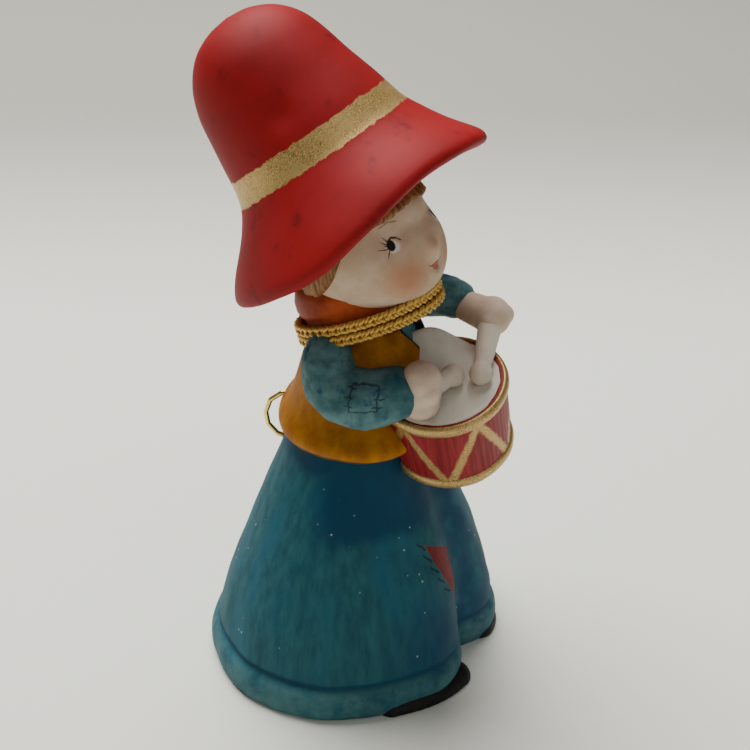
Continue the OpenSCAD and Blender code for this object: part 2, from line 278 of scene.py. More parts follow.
# Material helpers
class Paint:
    def __init__(self, name, roughness=0.66, specular=0.2):
        self.material = bpy.data.materials.new(name)
        self.material.use_nodes = True
        self.tree = self.material.node_tree
        self.shader = self.tree.nodes["Principled BSDF"]
        self.shader.inputs["Roughness"].default_value = roughness
        self.shader.inputs["Specular IOR Level"].default_value = specular
        self.coord = self.node("ShaderNodeTexCoord").outputs["Object"]

    def node(self, kind, **values):
        made = self.tree.nodes.new(kind)
        for key, value in values.items():
            setattr(made, key, value)
        return made

    def put(self, socket, value):
        if isinstance(value, bpy.types.NodeSocket):
            self.tree.links.new(value, socket)
        elif isinstance(value, (tuple, list)) and len(value) == 3 and socket.type == "RGBA":
            socket.default_value = (*value, 1)
        else:
            socket.default_value = value

    def math(self, operation, a, b=0.0, c=0.0, clamp=False):
        made = self.node("ShaderNodeMath", operation=operation, use_clamp=clamp)
        self.put(made.inputs[0], a)
        self.put(made.inputs[1], b)
        self.put(made.inputs[2], c)
        return made.outputs[0]

    def times(self, a, b):
        return self.math("MULTIPLY", a, b)

    def vector(self, operation, a, b=(0, 0, 0), scale=1.0):
        made = self.node("ShaderNodeVectorMath", operation=operation)
        self.put(made.inputs[0], a)
        if operation not in ("SCALE", "LENGTH"):
            self.put(made.inputs[1], b)
        if operation == "SCALE":
            self.put(made.inputs["Scale"], scale)
        single = operation in ("LENGTH", "DOT_PRODUCT", "DISTANCE")
        return made.outputs["Value"] if single else made.outputs[0]

    def place(self, coord, location=(0, 0, 0), rotation=(0, 0, 0), scale=(1, 1, 1), kind="TEXTURE"):
        made = self.node("ShaderNodeMapping", vector_type=kind)
        self.put(made.inputs["Vector"], coord)
        made.inputs["Location"].default_value = location
        made.inputs["Rotation"].default_value = rotation
        made.inputs["Scale"].default_value = scale
        return made.outputs[0]

    def noise(self, coord, scale, detail=3.0, rough=0.55, stretch=(1, 1, 1)):
        made = self.node("ShaderNodeTexNoise")
        self.put(made.inputs["Vector"], self.place(coord, scale=stretch, kind="POINT"))
        made.inputs["Scale"].default_value = scale
        made.inputs["Detail"].default_value = detail
        made.inputs["Roughness"].default_value = rough
        return made.outputs["Fac"]

    def smooth(self, value, low, high):
        made = self.node("ShaderNodeMapRange", interpolation_type="SMOOTHSTEP")
        self.put(made.inputs["Value"], value)
        made.inputs["From Min"].default_value = low
        made.inputs["From Max"].default_value = high
        return made.outputs["Result"]

    def blend(self, factor, a, b):
        made = self.node("ShaderNodeMix", data_type="RGBA")
        self.put(made.inputs["Factor"], factor)
        self.put(made.inputs["A"], a)
        self.put(made.inputs["B"], b)
        return made.outputs["Result"]

    def both(self, x, y, z=0.0):
        made = self.node("ShaderNodeCombineXYZ")
        self.put(made.inputs[0], x)
        self.put(made.inputs[1], y)
        self.put(made.inputs[2], z)
        return made.outputs[0]

    def parts(self, vector):
        made = self.node("ShaderNodeSeparateXYZ")
        self.put(made.inputs[0], vector)
        return made.outputs

    def local(self, centre, turn=(0, 0, 0)):
        spot = [c * mm for c in centre]
        return self.place(self.coord, location=spot, rotation=[math.radians(a) for a in turn])

    def wrap(self, centre, turn=(0, 0, 0), radius=10.0):
        local = self.local(centre, turn)
        x, y, z = self.parts(local)
        angle = self.math("ARCTAN2", x, self.times(y, -1.0))
        return self.both(self.times(angle, radius), self.times(z, 1000.0))

    def globe(self, centre, turn=(0, 0, 0)):
        local = self.local(centre, turn)
        x, y, z = self.parts(local)
        side = self.math("ARCTAN2", x, self.times(y, -1.0))
        flat = self.math("SQRT", self.math("ADD", self.times(x, x), self.times(y, y)))
        rise = self.math("ARCTAN2", z, flat)
        deg = 180 / math.pi
        return self.both(self.times(side, deg), self.times(rise, deg))

    def stroke(self, coord, a, b, width, soft=0.45, end=None):
        ab = (b[0] - a[0], b[1] - a[1], 0)
        length2 = max(ab[0] ** 2 + ab[1] ** 2, 1e-6)
        off = self.vector("SUBTRACT", coord, (a[0], a[1], 0))
        t = self.math("MULTIPLY", self.vector("DOT_PRODUCT", off, ab), 1 / length2, clamp=True)
        near = self.vector("SCALE", ab, scale=t)
        gap = self.vector("DISTANCE", off, near)
        half = width / 2
        if end is not None:  # the stroke thins towards its end
            tapered = self.math("ADD", half, self.times(t, (end - width) / 2))
            gap = self.math("SUBTRACT", gap, tapered)
            return self.smooth(gap, soft * width * 0.3, -soft * width * 0.3)
        return self.smooth(gap, half * (1 + soft), half * (1 - soft))

    def spot(self, coord, centre, radii, soft=0.25, turn=0.0):
        local = self.place(coord, location=(centre[0], centre[1], 0), rotation=(0, 0, math.radians(turn)),
                           scale=(radii[0], radii[1], 1))
        flat = self.vector("MULTIPLY", local, (1, 1, 0))
        return self.smooth(self.vector("LENGTH", flat), 1 + soft, 1 - soft)

    def most(self, masks):
        out = masks[0]
        for m in masks[1:]:
            out = self.math("MAXIMUM", out, m)
        return out

    def wobble(self, coord, amount, size):
        made = self.node("ShaderNodeTexNoise")
        self.put(made.inputs["Vector"], coord)
        made.inputs["Scale"].default_value = 1 / size
        made.inputs["Detail"].default_value = 2
        shift = self.vector("SUBTRACT", made.outputs["Color"], (0.5, 0.5, 0.5))
        return self.vector("ADD", coord, self.vector("MULTIPLY", shift, (amount * 2, amount * 2, 0)))

    def bisque(self, grain=0.25, brush=None):
        fine = self.noise(self.coord, 5200, 3, 0.6)
        coarse = self.noise(self.coord, 700, 3, 0.5)
        height = self.math("ADD", self.times(fine, 0.4), coarse)
        if brush is not None:
            height = self.math("ADD", height, self.times(brush, 0.5))
        made = self.node("ShaderNodeBump")
        made.inputs["Strength"].default_value = grain
        made.inputs["Distance"].default_value = 0.00012
        self.put(made.inputs["Height"], height)
        self.put(self.shader.inputs["Normal"], made.outputs[0])

    def colour(self, socket):
        self.put(self.shader.inputs["Base Color"], socket)

    def gild(self, mask, base, metal, rough):
        self.colour(base)
        self.put(self.shader.inputs["Metallic"], self.times(mask, metal))
        change = self.times(mask, rough[1] - rough[0])
        self.put(self.shader.inputs["Roughness"], self.math("ADD", rough[0], change))

    def goldColour(self):
        grit = self.noise(self.coord, 3800, 4, 0.7)
        broad = self.noise(self.coord, 260, 3, 0.6)
        gold = self.blend(self.smooth(grit, 0.36, 0.66), (0.20, 0.115, 0.035), (0.72, 0.49, 0.19))
        return self.blend(self.smooth(broad, 0.35, 0.75), gold, (0.50, 0.34, 0.13))

    def wear(self, base, colour, scale, low, high, stretch=(1, 1, 1)):
        worn = self.noise(self.coord, scale, 4, 0.6, stretch)
        return self.blend(self.smooth(worn, low, high), base, colour)


def plainPaint(name, dark, light, scale=220, stretch=(1, 1, 1), rough=0.62, grain=0.25):
    p = Paint(name, rough)
    streak = p.noise(p.coord, scale, 5, 0.6, stretch)
    p.colour(p.blend(p.smooth(streak, 0.3, 0.7), dark, light))
    p.bisque(grain, streak)
    return p.material


rawBisque = plainPaint("rawBisque", (0.66, 0.60, 0.50), (0.76, 0.71, 0.62))
print("helpers")

# Trousers, the bell
bell = dict(mouthX=32.6, mouthY=28.4, waist=54.0, waistY=13.0, wall=2.6, cuff=6.9, cuffOut=1.6, crease=0.15,
            creaseWidth=9.0, rows=64, steps=192)
heart = dict(x=-2.6, y=23.0, wide=9.5, tall=12.5, below=7.2, slant=0.45, bow=0.62, stitches=5)
lean = [(0, 0), (12, -0.9), (25, -1.6), (52, -1.5), (61, -2.2), (73, -3.7), (90, -3.7)]


def bellDepth(z):
    share = min(max(z / bell["waist"], 0), 1)
    return bell["waistY"] + (bell["mouthY"] - 0.6 - bell["waistY"]) * math.cos(math.pi / 2 * share) ** 1.32


def trouserShape(co):
    r, z = math.hypot(co.x, co.y), co.z
    a = math.degrees(math.atan2(co.y, co.x))
    out = bellDepth(z)
    inside = r < out - bell["wall"] * 0.6
    d = turnFrom(a, -90)  # degrees from the front crease
    fade = max(0, 1 - z / bell["waist"]) ** 0.8
    back = 180 - abs(d)
    cut = bell["crease"] * fade * (bump(d, bell["creaseWidth"]) + 0.28 * bump(back, 12))
    swell = 0.045 * fade * (bump(abs(d) - 22, 13) + 0.2 * bump(back - 30, 18))
    share = 0.75 if inside else 1.0
    r *= 1 - (cut - swell) * share
    if not inside and z > 0.05:
        spot = (co.x, co.y, z * 0.6)
        r += 0.35 * ripple(spot, 9, 2.0) + 0.12 * ripple(spot, 3, 5.0)
        r += 0.7 * bump(d, 26) * bump(z - 15, 12) * ripple((d * 0.5, z, 3), 4.5, 1.0)
        r += 0.28 * bump(z - 3.4, 3.5) * ripple((a, z * 0.3, 0), 14, 4.0)
    t = math.radians(a)
    aspect = bell["mouthX"] / bell["mouthY"]
    return Vector((aspect * r * math.cos(t), table(z, lean) + r * math.sin(t), z))


def buildTrousers():
    out = []
    for k in range(bell["rows"] + 1):
        z = bell["waist"] * (k / bell["rows"]) ** 1.25  # closer rows near the cuff
        r = bellDepth(z)
        top = bell["cuff"]
        if z < top:
            roll = math.sqrt(max(0, 1 - ((z - top * 0.45) / (top * 0.56)) ** 2))
            r += bell["cuffOut"] * roll - 0.5
        r -= 0.55 * bump(z - top - 0.25, 0.55)
        out.append((r, z))
    out[0] = (out[0][0] - 0.5, 0.0)
    heights = [bell["waist"] * k / 9 for k in range(9, 1, -1)] + [8, 4, 1.2]
    wall = [(bellDepth(z) - bell["wall"], z) for z in heights]
    wall.append((bellDepth(0) - bell["wall"] + 0.5, 0.0))
    bm = turned(out + wall + [out[0]], bell["steps"])
    sculpt(bm, trouserShape)
    for f in bm.faces:
        c = f.calc_center_median()
        outward = Vector((c.x, c.y, 0))
        if f.normal.dot(outward) < -0.2 * outward.length or c.z < 0.02:  # the bare inside and foot
            f.material_index = 1
    return bm


def heartPatch(p, base, flat):
    # on the near leg, half hidden by the fold, with stitches along its open edge
    drawn = p.wobble(flat, 0.35, 1.6)
    wide, tall, below, slant, bow = (heart[key] for key in ("wide", "tall", "below", "slant", "bow"))
    hx, hy, _ = p.parts(p.vector("SUBTRACT", drawn, (heart["x"], heart["y"], 0)))
    hy = p.math("ADD", hy, p.times(hx, slant))
    rise = p.times(p.math("ADD", hy, below), 1 / tall)
    swing = p.times(p.math("POWER", p.math("MAXIMUM", rise, 0.0), bow), -wide)
    across = p.times(p.smooth(p.math("SUBTRACT", hx, swing), -0.25, 0.25), p.smooth(hx, 0.3, -0.1))
    upright = p.times(p.smooth(hy, tall - below + 0.1, tall - below - 0.3),
                     p.smooth(hy, -below - 0.2, -below + 0.2))
    weave = p.smooth(p.noise(flat, 1.4, 4, 0.6, (1, 0.3, 1)), 0.35, 0.7)
    red = p.blend(weave, (0.12, 0.010, 0.012), (0.20, 0.024, 0.022))
    base = p.blend(p.times(across, upright), base, red)
    marks = []
    for k in range(heart["stitches"]):
        up = 0.95 - 0.17 * k
        reach = -wide * up ** bow
        x0, y0 = heart["x"] + reach, heart["y"] - below + tall * up - slant * reach
        marks.append(p.stroke(drawn, (x0 - 2.4, y0 + 1.4), (x0 - 0.5, y0 - 0.2), 0.42))
    return p.blend(p.times(p.most(marks), 0.85), base, (0.004, 0.012, 0.02))


def trouserPaint():
    p = Paint("trouserPaint", 0.66, 0.2)
    flat = p.wrap((0, -1.2, 0), radius=27)
    streak = p.noise(p.coord, 550, 6, 0.6, (1, 1, 0.16))
    broad = p.noise(p.coord, 110, 3, 0.5, (1, 1, 0.5))
    base = p.blend(p.smooth(streak, 0.22, 0.80), (0.003, 0.055, 0.082), (0.018, 0.112, 0.132))
    base = p.blend(p.times(p.smooth(broad, 0.42, 0.7), 0.6), base, (0.008, 0.10, 0.16))
    x, y, z = p.parts(p.wobble(flat, 2.2, 9.0))
    # painted shade: darker below the vest, down the fold and low on the near leg, where shade falls
    underVestShade = p.times(p.smooth(p.math("ABSOLUTE", x), 46.0, 36.0), p.smooth(y, 34.0, 38.5))
    waistShade = p.smooth(y, 46.0, 49.5)
    fromFold = p.math("ABSOLUTE", p.math("SUBTRACT", x, 2.0))
    foldShade = p.times(p.smooth(fromFold, 13.0, 4.0), 0.8)
    foldShade = p.times(foldShade, p.smooth(p.noise(p.coord, 200, 2, 0.5), 0.30, 0.60))
    nearLegShade = p.times(p.spot(flat, (-13, 13), (9, 8), 0.7), 0.75)
    base = p.blend(p.math("MAXIMUM", foldShade, nearLegShade), base, (0.002, 0.040, 0.095))
    base = p.blend(p.times(p.math("MAXIMUM", underVestShade, waistShade), 0.85), base, (0.001, 0.035, 0.085))
    level = p.parts(flat)[1]
    # painted shade in the groove above the cuff
    grooveShade = p.smooth(p.math("ABSOLUTE", p.math("SUBTRACT", level, 7.4)), 1.2, 0.3)
    base = p.blend(p.times(grooveShade, 0.75), base, (0.002, 0.040, 0.085))
    cuffMottle = p.smooth(p.noise(p.coord, 220, 4, 0.6), 0.28, 0.66)
    cuffTone = p.times(p.smooth(level, 7.2, 5.8), cuffMottle)
    base = p.blend(p.times(cuffTone, 0.8), base, (0.065, 0.165, 0.175))
    base = heartPatch(p, base, flat)
    fleck = p.node("ShaderNodeTexVoronoi", feature="F1")
    p.put(fleck.inputs["Vector"], p.coord)
    fleck.inputs["Scale"].default_value = 400
    dot = p.smooth(fleck.outputs["Distance"], 0.11, 0.04)
    patch = p.smooth(p.noise(p.coord, 100, 2, 0.5), 0.51, 0.57)
    base = p.blend(p.times(p.times(dot, patch), 0.75), base, (0.42, 0.52, 0.50))
    p.colour(base)
    p.bisque(0.28, streak)
    return p.material


addPiece("trousers", buildTrousers(), [trouserPaint(), rawBisque], "trouser_bell")
print("trousers")

# Shoes
shoes = dict(right=((-8.0, -26.8), (-22.0, -19.4)), left=((9.0, -25.2), (18.0, -20.6)), radius=3.9,
             taper=0.72)


def buildShoe(ends):
    balls = []
    for k in range(11):
        t = k / 10
        x, y = mix(ends[0][0], ends[1][0], t), mix(ends[0][1], ends[1][1], t)
        y -= 1.3 * math.sin(math.pi * t)  # the sole's edge is bowed
        r = shoes["radius"] * mix(1.0, shoes["taper"], t * t)
        balls.append(((x, y, 0.4), r, (1, 1, 0.74)))
        balls.append(((x * 0.92, y * 0.86, 0.6), r * 0.95, (1, 1, 0.8)))
    bm = clay(balls, 0.32, 5)
    bmesh.ops.bisect_plane(bm, geom=bm.verts[:] + bm.edges[:] + bm.faces[:], plane_co=(0, 0, 0.02),
                           plane_no=(0, 0, -1), clear_outer=True)
    bmesh.ops.holes_fill(bm, edges=[e for e in bm.edges if e.is_boundary], sides=0)
    return bm


shoePaint = plainPaint("shoePaint", (0.002, 0.003, 0.003), (0.008, 0.008, 0.008), 400, rough=0.5)
for side, node in (("right", "right_shoe"), ("left", "left_shoe")):
    addPiece(side + "Shoe", buildShoe(shoes[side]), [shoePaint], node)
print("shoes")

# Shirt and vest
chest = dict(waist=bell["waist"], tall=22.0, wall=2.4,
             depth=[(0, 13.0), (4, 12.2), (9, 11.6), (14, 10.8), (18, 9.4), (21, 7.8), (27, 6.0)],
             width=[(0, 1.15), (9, 1.18), (16, 1.24), (21, 1.1), (27, 1.0)])


def chestPoint(a, z, out=0.0):
    r = table(z - chest["waist"], chest["depth"]) + out
    wide = table(z - chest["waist"], chest["width"])
    t = math.radians(a)
    return Vector((wide * r * math.cos(t), table(z, lean) + r * math.sin(t), z))


def buildShirt():
    rows = [chest["waist"] + chest["tall"] * k / 30 for k in range(31)]
    # radius 1 marks the outside and 0.5 the inside, until shape() gives both their real size
    profile = [(1.0, z) for z in rows] + [(0.5, z) for z in reversed(rows[::3])] + [(1.0, rows[0])]
    bm = turned(profile, 120)

    def shape(co):
        a = math.degrees(math.atan2(co.y, co.x))
        inner = math.hypot(co.x, co.y) < 0.75
        p = chestPoint(a, co.z, -chest["wall"] if inner else 0)
        return p + Vector((0, 0, 0.25 * ripple(p, 4, 3.0)))
    sculpt(bm, shape)
    relax(bm, 2)
    return bm


shirtPaint = plainPaint("shirtPaint", (0.012, 0.075, 0.105), (0.06, 0.20, 0.25), 160, (1, 1, 0.35))
addPiece("shirt", buildShirt(), [shirtPaint], "torso")

vest = dict(hem=53.6, top=76.0, apex=68.8, middle=14, cloth=1.5, hemOut=1.2, hemAt=55.8, hemWidth=4.0,
            neckAngle=30, apexAngle=2, hemAngle=40, frontOut=2.5, thick=1.1)


def vestEdge(z):
    apex = vest["apex"]
    if z > apex:
        return mix(vest["apexAngle"], vest["neckAngle"], (z - apex) / (vest["top"] - apex))
    return mix(vest["apexAngle"], vest["hemAngle"], ((apex - z) / (apex - vest["hem"])) ** 1.3)


def buildVest():
    bm = bmesh.new()
    bmesh.ops.create_grid(bm, x_segments=150, y_segments=48, size=1.0)

    def shape(co):
        u, v = (co.x + 1) / 2, (co.y + 1) / 2
        z = mix(vest["hem"], vest["top"], v)
        opening = vestEdge(z)
        around = mix(-90 + vest["middle"] + opening, 270 + vest["middle"] - opening, u)
        side = abs(math.cos(math.radians(around)))
        droop = 1.2 * side * bump(z - vest["hem"], 6)
        low = bump(z - vest["hemAt"], vest["hemWidth"])
        toFront = bump(abs(turnFrom(around, -90)) - 42, 30)
        out = vest["cloth"] + (vest["hemOut"] + vest["frontOut"] * toFront) * low
        out += 0.8 * bump(z - vest["hemAt"], 2.2)
        out -= 0.9 * bump(turnFrom(around, 110), 70)  # the back lies closer
        p = chestPoint(around, z, out)
        p.z = z - droop + 0.35 * ripple((around * 0.12, z * 0.3, 0), 1.8, 6.0) * bump(z - vest["hem"], 8)
        tuck = ease((vest["hemAt"] - 1.3 - z) / 2.2)
        mid = Vector((0, table(z, lean), p.z))
        return mid + (p - mid) * (1 - 0.10 * tuck)
    sculpt(bm, shape)
    bmesh.ops.recalc_face_normals(bm, faces=bm.faces)
    rearmost = max(bm.faces, key=lambda f: f.calc_center_median().y)
    if rearmost.normal.y < 0:
        bmesh.ops.reverse_faces(bm, faces=bm.faces)
    bmesh.ops.solidify(bm, geom=bm.faces[:], thickness=vest["thick"])
    bmesh.ops.remove_doubles(bm, verts=bm.verts, dist=1e-4)
    bmesh.ops.recalc_face_normals(bm, faces=bm.faces)
    relax(bm, 3)
    return bm


def vestPaint():
    p = Paint("vestPaint", 0.64, 0.2)
    radius = 14
    flat = p.wrap((0, -2.5, 0), radius=radius)
    broad = p.noise(p.coord, 220, 4, 0.6, (1, 1, 0.6))
    base = p.blend(p.smooth(broad, 0.3, 0.7), (0.26, 0.085, 0.002), (0.44, 0.165, 0.006))
    base = p.wear(base, (0.13, 0.05, 0.006), 120, 0.60, 0.80, (1, 1, 0.4))
    x, y, z = p.parts(p.wobble(flat, 0.25, 1.5))
    # black trim along both edges of the V neck
    away = p.math("ABSOLUTE", p.math("SUBTRACT", x, radius * math.radians(vest["middle"])))
    slope = radius * math.radians(vest["neckAngle"] - vest["apexAngle"]) / (vest["top"] - vest["apex"])
    edge = p.times(p.math("SUBTRACT", y, vest["apex"]), slope)
    line = p.math("SUBTRACT", away, p.math("ADD", radius * math.radians(vest["apexAngle"]), edge))
    trim = p.times(p.smooth(line, 1.25, 0.95), p.smooth(y, vest["apex"] - 1.2, vest["apex"] - 0.6))
    base = p.blend(trim, base, (0.008, 0.009, 0.012))
    # a dark line along the bottom of the hem: partly dark paint, partly painted shadow under the thick hem
    hemTrimAndShade = p.smooth(y, vest["hem"] + 0.45, vest["hem"] + 0.1)
    base = p.blend(p.times(hemTrimAndShade, 0.8), base, (0.02, 0.015, 0.01))
    p.colour(base)
    p.bisque(0.25, broad)
    return p.material


addPiece("vest", buildVest(), [vestPaint()], "vest")
print("shirt and vest")

# Scarf
scarf = dict(place=(0, -3.7, 79.0), tilt=20, roll=4.5, outer=12.7)
scarfTurn = (Matrix.Rotation(math.radians(scarf["roll"]), 3, "Y")
             @ Matrix.Rotation(math.radians(-scarf["tilt"]), 3, "X"))


def scarfSpot(x, y, z):
    return Vector(scarf["place"]) + scarfTurn @ Vector((x, y, z))


def buildScarf():
    ring = [(6.5, -3.2), (10.5, -4.0), (12.2, -3.6), (12.9, -2.0), (12.8, -0.2), (13.1, 1.6), (12.9, 3.2),
            (12.3, 5.0), (10.2, 6.1), (6.5, 5.6)]
    loop = curveThrough([(r, 0, z) for r, z in ring], 5, True)
    bm = turned([(p.x, p.z) for p in loop] + [ring[0]], 144)

    def shape(co):
        a = math.degrees(math.atan2(co.y, co.x))
        r = math.hypot(co.x, co.y)
        near = bump(turnFrom(a, -205), 26)
        if r > 8:
            r += 0.5 * near * bump(co.z - 2.5, 3) + 0.35 * ripple((a * 0.1, co.z, 0), 2.6, 2.0)
            r -= 0.5 * bump(co.z - 0.5 - 1.2 * math.sin(math.radians(a * 2 + 40)), 0.8)
        t = math.radians(a)
        z = co.z + (0.8 + 1.6 * near if co.z > 2 else 0)
        return scarfSpot(r * math.cos(t), r * math.sin(t), z)
    sculpt(bm, shape)
    return bm


scarfPaint = plainPaint("scarfPaint", (0.18, 0.016, 0.002), (0.38, 0.060, 0.006), 130, (1, 1, 0.5))
addPiece("scarf", buildScarf(), [scarfPaint], "scarf")
print("scarf")

# Head and face
head = dict(place=(0, -3.5, 91.0), radius=14.3, yaw=-5.0)


def headShape(n):
    side = turnFrom(math.degrees(math.atan2(n.x, -n.y)), head["yaw"])
    rise = math.degrees(math.asin(max(-1, min(1, n.z))))
    r = head["radius"] - 0.25
    for s in (-1, 1):
        d2 = ((side - s * 36) / 25) ** 2 + ((rise + 9) / 24) ** 2
        r += 1.2 * math.exp(-d2)  # cheek
        d2 = ((side - s * 38) / 20) ** 2 + ((rise - 27) / 12) ** 2
        r -= 0.75 * math.exp(-d2)  # hollow round the eye
    r += 1.5 * math.exp(-(side / 30) ** 2 - ((rise + 18) / 16) ** 2)  # chin and lower face
    r += 1.15 * math.exp(-(side / 7.5) ** 2 - ((rise - 9) / 7) ** 2)  # button nose
    r -= 0.8 * math.exp(-(side / 34) ** 2 - ((rise - 31) / 9) ** 2)  # dip below the brow
    r += 0.5 * math.exp(-(side / 5) ** 2 - ((rise + 10) / 3.5) ** 2)  # lower lip
    r -= 0.35 * math.exp(-(side / 7) ** 2 - ((rise + 4.5) / 2.2) ** 2)  # line of the mouth
    return r


def buildHead():
    bm = bmesh.new()
    bmesh.ops.create_icosphere(bm, subdivisions=7, radius=1.0)
    sculpt(bm, lambda co: Vector(head["place"]) + co.normalized() * headShape(co.normalized()))
    return bm


def facePaint():
    p = Paint("facePaint", 0.6, 0.25)
    raw = p.globe(head["place"], (0, 0, head["yaw"]))
    at = p.wobble(raw, 0.5, 4.0)
    mottled = p.noise(p.coord, 260, 4, 0.6)
    base = p.blend(p.smooth(mottled, 0.3, 0.7), (0.50, 0.36, 0.24), (0.58, 0.45, 0.33))
    blush = p.math("MAXIMUM", p.spot(raw, (-29, -5), (17, 14), 0.85), p.spot(raw, (29, -5), (17, 14), 0.85))
    base = p.blend(p.times(blush, 0.75), base, (0.42, 0.15, 0.06))
    noseTone = p.spot(raw, (0, 12), (10, 11), 0.9)
    base = p.blend(p.times(noseTone, 0.4), base, (0.52, 0.27, 0.15))
    strokes, whites = [], []
    for s in (-1, 1):
        def eye(x, y, s=s):
            return (s * (38 + x), 20.5 + y)
        whites.append(p.spot(at, eye(-1.0, -0.8), (6.0, 4.6), 0.12))
        strokes.append(p.spot(at, eye(0.6, 0.2), (3.8, 4.2), 0.12))
        lid = [eye(2.5, 3.6), eye(-1.2, 6.0), eye(-5.4, 5.4), eye(-9.2, 3.0)]
        for a, b, wide in zip(lid, lid[1:], (1.3, 1.5, 1.0)):
            strokes.append(p.stroke(at, a, b, wide))
        for a, b in (((3.5, 3.4), (7.2, 7.2)), ((4.4, 1.2), (9.6, 3.4)), ((4.2, -2.2), (11.5, -2.6)),
                     ((2.6, -3.4), (4.6, -8.8)), ((3.6, 0.0), (6.5, 0.2))):
            strokes.append(p.stroke(at, eye(*a), eye(*b), 0.95, end=0.35))
    base = p.blend(p.most(whites), base, (0.74, 0.68, 0.60))
    brows = []
    for s in (-1, 1):
        arch = [(s * 47, 34.5), (s * 38, 38.5), (s * 29, 38.0)]
        for a, b in zip(arch, arch[1:]):
            brows.append(p.stroke(at, a, b, 1.1))
    base = p.blend(p.times(p.most(brows), 0.7), base, (0.17, 0.06, 0.02))
    lips = p.math("MAXIMUM", p.spot(at, (0, -3.2), (5.5, 1.7), 0.2), p.spot(at, (0, -5.2), (3.8, 1.8), 0.25))
    base = p.blend(p.times(lips, 0.85), base, (0.50, 0.12, 0.07))
    mouth = [(-8.5, -2.0), (-4, -3.8), (0, -3.4), (4, -3.8), (8.5, -2.0)]
    line = p.most([p.stroke(at, a, b, 0.95) for a, b in zip(mouth, mouth[1:])])
    base = p.blend(p.times(line, 0.85), base, (0.13, 0.02, 0.01))
    base = p.blend(p.most(strokes), base, (0.006, 0.005, 0.005))
    p.colour(base)
    p.bisque(0.18)
    return p.material


addPiece("head", buildHead(), [facePaint()], "head")
print("head")

# Hair
hair = dict(thick=1.2, edge=[(-50, 118), (-35, 104), (-20, 88), (-5, 78), (10, 74), (22, 67), (34, 52),
                             (43, 20), (50, -20)])


def buildHair():
    bm = bmesh.new()
    bmesh.ops.create_icosphere(bm, subdivisions=6, radius=1.0)
    centre = Vector(head["place"])

    def shape(co):
        n = co.normalized()
        side = turnFrom(math.degrees(math.atan2(n.x, -n.y)), head["yaw"])
        rise = math.degrees(math.asin(max(-1, min(1, n.z))))
        edge = table(rise, hair["edge"])  # how far round the hair starts
        cover = ease((abs(side) - edge) / 9)
        low = ease((rise + 36) / 10)
        thick = hair["thick"] * mix(0.45, 1, ease((abs(side) - 20) / 40))
        strand = 0.26 * math.sin(side * 0.55 + 3.0 * ripple((side * 0.05, rise * 0.08, 0), 1.0, 4.0)) * cover
        full = headShape(n) * 0.2 + (head["radius"] + thick) * 0.8
        r = mix(head["radius"] - 1.5, full, cover * low) + strand
        return centre + n * r
    sculpt(bm, shape)
    return bm


def hairPaint():
    p = Paint("hairPaint", 0.6, 0.3)
    at = p.globe(head["place"])
    strand = p.noise(at, 0.55, 5, 0.65, (1.0, 0.10, 1))
    base = p.blend(p.smooth(strand, 0.32, 0.68), (0.085, 0.028, 0.006), (0.36, 0.17, 0.05))
    p.colour(base)
    p.bisque(0.45, strand)
    return p.material


addPiece("hair", buildHair(), [hairPaint()], "hair")
print("hair")

# Hat
hat = dict(place=(0, 6.4, 109.0), tilt=38, band=(-2.3, 2.6))
hatTurn = Matrix.Rotation(math.radians(-hat["tilt"]), 3, "X")


def buildHat():
    outer = [(0.01, 27.7), (4.5, 27.1), (8.8, 24.9), (12.2, 21.0), (14.2, 16.0), (15.4, 10.5), (16.6, 5.0),
             (17.4, 1.0), (18.4, -2.2), (20.4, -5.4), (23.2, -9.0), (25.8, -12.2), (27.6, -14.6),
             (28.35, -16.1), (28.2, -17.3), (27.1, -17.8), (25.6, -16.9), (23.0, -14.6), (19.5, -12.4),
             (16.0, -11.2), (11.0, -10.6), (0.01, -10.4)]
    bm = turned([(p.x, p.z) for p in curveThrough([(r, 0, z) for r, z in outer], 5)], 192)

    def shape(co):
        r, h = math.hypot(co.x, co.y), co.z
        a = math.degrees(math.atan2(co.y, co.x))  # -90 is the front
        front = bump(turnFrom(a, -90), 60)
        near = bump(turnFrom(a, 175), 55)
        back = bump(turnFrom(a, 90), 60)
        brim = ease((r - 17.5) / 10) if h < 1 else 0
        lifted = bump(turnFrom(a, -132), 34)
        h += brim * (1.2 * front - 0.8 * near + 0.6 * back + 2.3 * lifted)
        r += brim * (-2.2 * front + 0.4 * near + 0.2 * back)
        h += brim * 0.7 * math.sin(math.radians(3 * a + 30))
        crown = ease(h / 16)
        spot = (co.x, co.y, h)
        r *= 1 + 0.012 * ripple(spot, 12, 1.0)
        t = math.radians(a)
        x, y = r * math.cos(t), r * math.sin(t)
        y += 1.1 * crown  # the crown slumps backwards
        dent = bump(math.dist((x, y, h), (-14.6, -6.5, 8.0)), 2.6)
        x += 0.8 * dent
        return Vector(hat["place"]) + hatTurn @ Vector((x, y, h + 0.3 * ripple(spot, 9, 7.0)))
    sculpt(bm, shape)
    return bm


